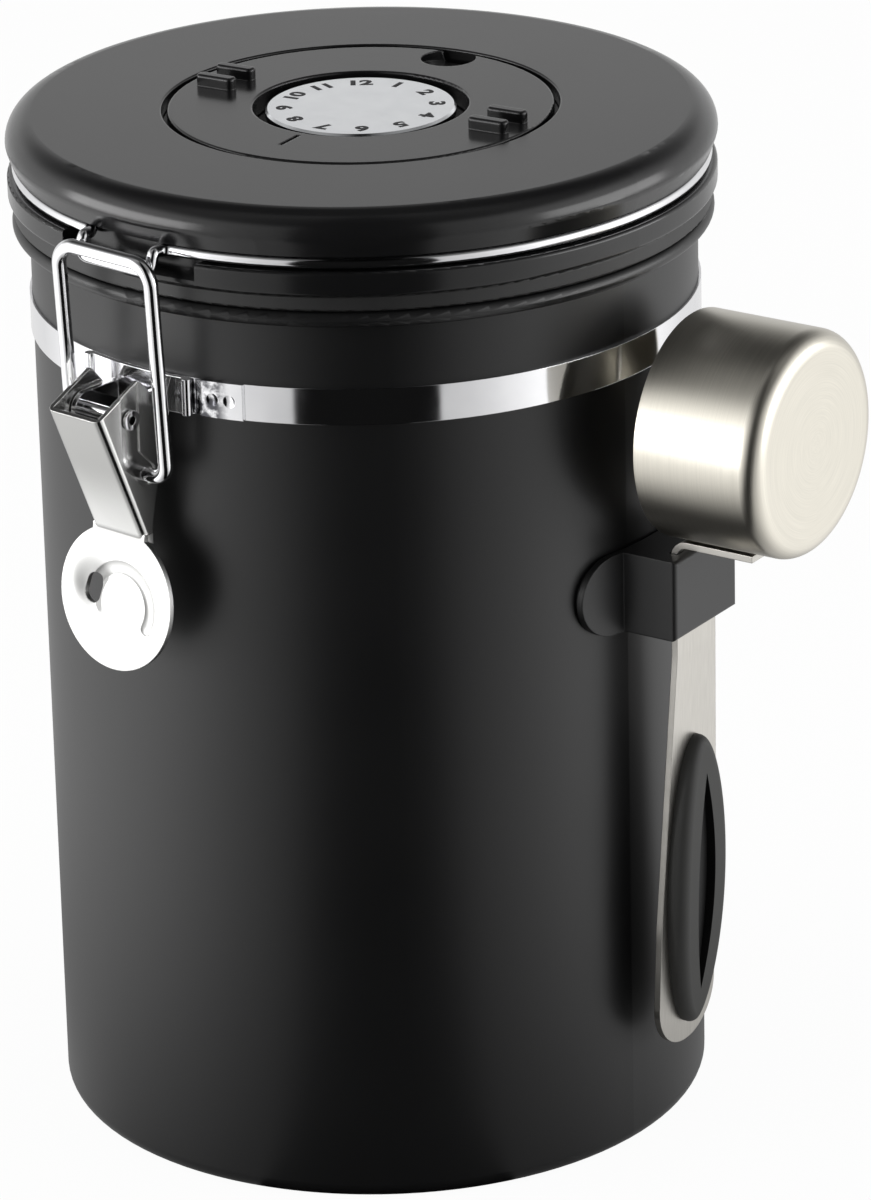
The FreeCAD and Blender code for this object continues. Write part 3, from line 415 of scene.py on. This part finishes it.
ink_dark = (0.012, 0.012, 0.014, 1.0)
ink_light = (0.030, 0.030, 0.032, 1.0)
ink_roughness = 0.55
ink_gloss_spread = 0.1
ink_grain_size = 0.0003
ink_grain_height = 0.000002
ink_cloud_size = 0.0012
month_count = 12
month_height = 0.0038
month_width_share = 1.25
month_radius = 0.0135
ink_thickness = 0.00004
ink_weight = 0.00019
ink_flatness_share = 0.3
twelve_azimuth = math.radians(-138.0)
dark_ink = grained("dark_ink", (ink_dark, ink_light), ink_roughness, ink_gloss_spread, ink_grain_size,
                   ink_grain_height, ink_cloud_size)
disc_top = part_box("date_disc")[1].z


def month_numeral(month):
    """A month's number, flat on the disc, its top outward at the month's place round the dial."""
    lettering = bpy.data.curves.new("lettering", "FONT")
    lettering.body = str(month)
    lettering.size = month_height
    lettering.align_x = "CENTER"
    lettering.align_y = "CENTER"
    lettering.extrude = ink_thickness
    lettering.bevel_depth = ink_weight
    lettering.bevel_resolution = 0
    drawn = bpy.data.objects.new("drawn", lettering)
    bpy.context.scene.collection.objects.link(drawn)
    mesh = bpy.data.meshes.new_from_object(drawn)
    bpy.data.objects.remove(drawn)
    azimuth = twelve_azimuth - math.tau * month / month_count
    outward = Vector((math.sin(azimuth), -math.cos(azimuth), 0))
    along = Vector((outward.y, -outward.x, 0))
    turn = Matrix((along, outward, (0, 0, 1))).transposed().to_4x4()
    place = Matrix.Translation(outward * month_radius + Vector((0, 0, disc_top)))
    mesh.transform(place @ turn @ Matrix.Diagonal((month_width_share, 1, ink_flatness_share, 1)))
    mesh.materials.append(dark_ink)
    numeral = bpy.data.objects.new("month_" + str(month), mesh)
    bpy.context.scene.collection.objects.link(numeral)
    return numeral


for month in range(1, month_count + 1):
    numeral = month_numeral(month)
    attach(numeral, "lid")

# Valve and filter
# White mouldings pressed into the plug from below, a silicone umbrella on its holes, and a felt
# pad held by a grille.
white_dark = (0.70, 0.70, 0.68, 1.0)
white_light = (0.78, 0.78, 0.76, 1.0)
white_roughness = 0.4
white_gloss_spread = 0.06
white_grain_size = 0.0005
white_grain_height = 0.000003
white_cloud_size = 0.008
white_moulding = grained("white_moulding", (white_dark, white_light), white_roughness, white_gloss_spread,
                         white_grain_size, white_grain_height, white_cloud_size)
dress(white_moulding, "valve_body", "valve_cap", "filter_grille")
umbrella_dark = (0.62, 0.62, 0.60, 1.0)
umbrella_light = (0.74, 0.74, 0.72, 1.0)
umbrella = grained("clear_silicone", (umbrella_dark, umbrella_light), silicone_roughness,
                   white_gloss_spread, silicone_grain_size, silicone_grain_height, white_cloud_size)
dress(umbrella, "valve_disc")
felt_dark = (0.66, 0.64, 0.58, 1.0)
felt_light = (0.84, 0.83, 0.78, 1.0)
felt_roughness = 0.95
felt_fibre_size = 0.0004
felt_fibre_height = 0.00006
felt = grained("filter_felt", (felt_dark, felt_light), felt_roughness, 0, felt_fibre_size,
               felt_fibre_height, felt_fibre_size)
dress(felt, "filter_pad")

# Scoop holder and its pad
# A black moulded plate with a slotted block, which holds the scoop by its strip.
# It is stuck to the can's wall with a strip of foam tape.
holder_roughness = 0.42
dress(moulded("holder_moulding", holder_roughness, moulding_edge_radius), "scoop_holder")
foam_dark = (0.012, 0.012, 0.012, 1.0)
foam_light = (0.035, 0.035, 0.035, 1.0)
foam_roughness = 0.9
foam_cell_size = 0.0005
foam_cell_height = 0.00004
foam_tape = grained("foam_tape", (foam_dark, foam_light), foam_roughness, 0, foam_cell_size,
                    foam_cell_height, foam_cell_size)
dress(foam_tape, "holder_pad")

# Scoop cup and handle
# A cup drawn from stainless sheet and brushed on a lathe, so its lines run round it, welded to a
# strip that is brushed along its length.
scoop_azimuth = math.radians(97.0)
cup_light = (0.735, 0.703, 0.622, 1.0)
cup_dark = (0.57, 0.545, 0.482, 1.0)
strip_light = (0.588, 0.568, 0.528, 1.0)
strip_dark = (0.417, 0.403, 0.374, 1.0)
steel_roughness = 0.33
steel_roughness_spread = 0.14
brush_width = 0.00022
brush_length = 0.006
brush_depth = 0.000004
brush_detail = 2.0


def middle_height(node):
    """The height of the middle of a CAD node."""
    low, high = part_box(node)
    return (low.z + high.z) / 2


def scoop_side(x, y):
    """How far a point stands to the side of the scoop's middle."""
    return x * math.cos(scoop_azimuth) + y * math.sin(scoop_azimuth)


def brushed(name, colours, lines_of):
    """Steel brushed in one direction. lines_of gives, from a point, how far it is across the lines,
    and how far along them."""
    finish = Finish(bpy.data.materials.new(name))
    across, along = lines_of(finish, finish.place())
    lines = finish.noise(finish.join(across / brush_width, along / brush_length, 0), 1, brush_detail)
    finish.surface({
        "Metallic": 1.0,
        "Base Color": finish.blend(lines, *colours),
        "Roughness": steel_roughness + (lines - middle_share) * steel_roughness_spread,
        "Normal": finish.bump(lines, brush_depth, finish.eased_edges(plate_edge_radius)),
    })
    return finish.owner


def round_the_cup(finish, place):
    """Lines that run round the cup's axis, on its wall and on its end."""
    x, y, z = finish.split(place)
    depth = x * math.sin(scoop_azimuth) - y * math.cos(scoop_azimuth)
    side = scoop_side(x, y)
    rise = z - middle_height("scoop_cup")
    radius = finish.measure("LENGTH", finish.join(side, rise, 0))
    angle = side.maths("ARCTAN2", side, rise)
    return depth - radius, angle * brush_length


def along_the_strip(finish, place):
    """Lines that run up and down the strip."""
    x, y, z = finish.split(place)
    return scoop_side(x, y), z


dress(brushed("brushed_cup", (cup_dark, cup_light), round_the_cup), "scoop_cup")
dress(brushed("brushed_strip", (strip_dark, strip_light), along_the_strip), "scoop_handle")

# Scoop grip
# Soft black rubber, moulded through the handle's window and matte to the touch.
# Its outer face has a lens-shaped recess, which the mould leaves smooth, and painted shade makes the recess
# blacker.
rubber_dark = (0.020, 0.020, 0.019, 1.0)
rubber_light = (0.030, 0.030, 0.028, 1.0)
rubber_roughness = 0.62
rubber_gloss_spread = 0.1
rubber_grain_size = 0.0005
rubber_grain_height = 0.00001
rubber_cloud_size = 0.01
# Painted shade: the recess is coloured near black.
recess_shade_colour = (0.0015, 0.0015, 0.0015, 1.0)
recess_half_length = 0.0215
recess_half_width = 0.0028
recess_shade_edge = 0.0001


def recessed_rubber():
    """The grip's rubber, with painted shade that makes the recess blacker."""
    finish = Finish(grained("soft_rubber", (rubber_dark, rubber_light), rubber_roughness,
                            rubber_gloss_spread, rubber_grain_size, rubber_grain_height,
                            rubber_cloud_size))
    x, y, z = finish.split(finish.place())
    side = abs(scoop_side(x, y))
    along = (z - middle_height("scoop_grip")) / recess_half_length
    reach = recess_half_width * (1 - along * along)
    outside = finish.step(side - reach, 0, recess_shade_edge)
    finish.surface({"Base Color": finish.blend(outside, recess_shade_colour, finish.held("Base Color"))})
    return finish.owner


dress(recessed_rubber(), "scoop_grip")

# Camera
# A long lens a little above the lid, which looks from between the latch and the scoop. Its place,
# tilt and roll follow from the round edges of the lid, the band and the base.
view_azimuth = math.radians(41.0)
view_elevation = math.radians(21.65)
view_roll = math.radians(-1.36)
view_distance = 1.22736
aim_right = 0.011243
aim_height = 0.092484
focal_pixels = 6678.4
picture_height_pixels = 1200
sensor_size = 36.0
view_right = Vector((math.cos(view_azimuth), math.sin(view_azimuth), 0))
view_back = Vector((math.sin(view_azimuth) * math.cos(view_elevation),
                    -math.cos(view_azimuth) * math.cos(view_elevation), math.sin(view_elevation)))
view_up = view_back.cross(view_right)
rolled_right = view_right * math.cos(view_roll) + view_up * math.sin(view_roll)
rolled_up = view_up * math.cos(view_roll) - view_right * math.sin(view_roll)
lens = bpy.data.cameras.new("camera")
lens.sensor_fit = "VERTICAL"
lens.sensor_height = sensor_size
lens.lens = focal_pixels / picture_height_pixels * sensor_size
camera = bpy.data.objects.new("camera", lens)
aim = view_right * aim_right + Vector((0, 0, aim_height))
camera.matrix_world = Matrix.Translation(aim + view_back * view_distance) @ Matrix(
    (rolled_right, rolled_up, view_back)).transposed().to_4x4()
bpy.context.scene.collection.objects.link(camera)
bpy.context.scene.camera = camera

# Studio
# A white room with a dark ceiling, and a dark gap in front where the camera stands between two white
# cards that are brightest beside the object. The back wall is darker towards its top. A softbox stands
# on the floor on each side, and a lamp overhead fills in without showing in the metal.
gap_level = 0.006
card_inner_level = 0.60
left_card_level = 1.65
right_card_level = 1.42
back_level = 0.81
back_top_start = math.sin(math.radians(12.0))
back_top_end = math.sin(math.radians(30.0))
back_top_share = 0.30
front_gap = math.radians(22.5)
card_edge = math.radians(1.5)
card_bright = math.radians(80.0)
room_back = math.radians(140.0)
ceiling_start = math.sin(math.radians(28.0))
ceiling_end = math.sin(math.radians(48.0))
ceiling_share = 0.17
camera_white = 1.0
floor_colour = (0.86, 0.86, 0.86, 1.0)
floor_half = 3.0
floor_white_share = 0.96
contact_shade_share = 0.35
contact_shade_start = 0.05
contact_shade_end = 0.24
towards_camera = Vector((view_right.y, -view_right.x, 0))


def card_light(finish, direction):
    """How bright the room is in a direction, below its ceiling."""
    forward = finish.measure("DOT_PRODUCT", direction, towards_camera)
    sideways = finish.measure("DOT_PRODUCT", direction, view_right)
    azimuth = sideways.maths("ARCTAN2", sideways, forward)
    past_gap = finish.step(abs(azimuth), front_gap, front_gap + card_edge)
    on_right = finish.step(azimuth, -front_gap, front_gap)
    side_level = left_card_level + on_right * (right_card_level - left_card_level)
    rise = finish.step(abs(azimuth), front_gap, card_bright)
    fall = finish.step(abs(azimuth), card_bright, room_back)
    card = card_inner_level + rise * (side_level - card_inner_level)
    high = finish.step(finish.split(direction)[2], back_top_start, back_top_end)
    back = back_level * (1 - high * (1 - back_top_share))
    return gap_level + past_gap * (card + fall * (back - side_level) - gap_level)


room = bpy.data.worlds.new("studio")
bpy.context.scene.world = room
air = Finish(room)
seen = air.node("ShaderNodeLightPath", {}, {}).output("Is Camera Ray")
direction = air.node("ShaderNodeTexCoord", {}, {}).output("Generated")
overhead = air.step(air.split(direction)[2], ceiling_start, ceiling_end)
level = card_light(air, direction) * (1 - overhead * (1 - ceiling_share))
air.plug(air.tree.nodes["Background"].inputs["Color"], air.grey(level + seen * (camera_white - level)))

ground = Finish(bpy.data.materials.new("pale_floor"))
rays = ground.node("ShaderNodeLightPath", {}, {})
spot = ground.node("ShaderNodeNewGeometry", {}, {}).output("Position")
matte = ground.node("ShaderNodeBsdfDiffuse", {}, {"Color": floor_colour})
white = ground.node("ShaderNodeEmission", {}, {"Strength": camera_white})
# To glossy rays the floor is an emission as bright as the room in that direction, with a painted contact
# shadow near the object.
from_axis = ground.measure("LENGTH", spot)
clear = ground.step(from_axis, contact_shade_start, contact_shade_end)
mirror_level = card_light(ground, spot) * (contact_shade_share + clear * (1 - contact_shade_share))
mirrored = ground.node("ShaderNodeEmission", {}, {"Color": ground.grey(mirror_level)})
white_share = rays.output("Is Camera Ray") * floor_white_share
shown = ground.node("ShaderNodeMixShader", {}, {0: white_share, 1: matte, 2: white})
both = ground.node("ShaderNodeMixShader", {}, {0: rays.output("Is Glossy Ray"), 1: shown, 2: mirrored})
ground.plug(ground.tree.nodes["Material Output"].inputs["Surface"], both)
floor_mesh = bpy.data.meshes.new("floor")
floor_mesh.from_pydata([(-floor_half, -floor_half, 0), (floor_half, -floor_half, 0),
                        (floor_half, floor_half, 0), (-floor_half, floor_half, 0)], [], [(0, 1, 2, 3)])
floor_mesh.materials.append(ground.owner)
floor = bpy.data.objects.new("floor", floor_mesh)
bpy.context.scene.collection.objects.link(floor)

softbox_width = 1.1
softbox_height = 0.5
softbox_distance = 1.2
left_softbox_azimuth = math.radians(-78.0)
right_softbox_azimuth = math.radians(82.0)
left_softbox_power = 7.2
right_softbox_power = 5.0
fill_height = 1.3
fill_size = 1.0
fill_power = 7.0


def area_lamp(name, width, height, power, place, away):
    """A flat lamp at a place, which shines the opposite way to the direction given."""
    lamp = bpy.data.lights.new(name, "AREA")
    lamp.shape = "RECTANGLE"
    lamp.size = width
    lamp.size_y = height
    lamp.energy = power
    made = bpy.data.objects.new(name, lamp)
    made.location = place
    made.rotation_euler = away.to_track_quat("Z", "Y").to_euler()
    bpy.context.scene.collection.objects.link(made)
    return made


softboxes = {"left_softbox": (left_softbox_azimuth, left_softbox_power),
             "right_softbox": (right_softbox_azimuth, right_softbox_power)}
for name, (azimuth, power) in softboxes.items():
    around = view_azimuth + azimuth
    outward = Vector((math.sin(around), -math.cos(around), 0))
    stand = outward * softbox_distance + Vector((0, 0, softbox_height / 2))
    area_lamp(name, softbox_width, softbox_height, power, stand, outward)
straight_up = Vector((0, 0, 1))
fill = area_lamp("overhead_fill", fill_size, fill_size, fill_power, straight_up * fill_height, straight_up)
fill.visible_glossy = False

# Picture
# The picture keeps the plain levels of the light.
bpy.context.scene.view_settings.view_transform = "Standard"
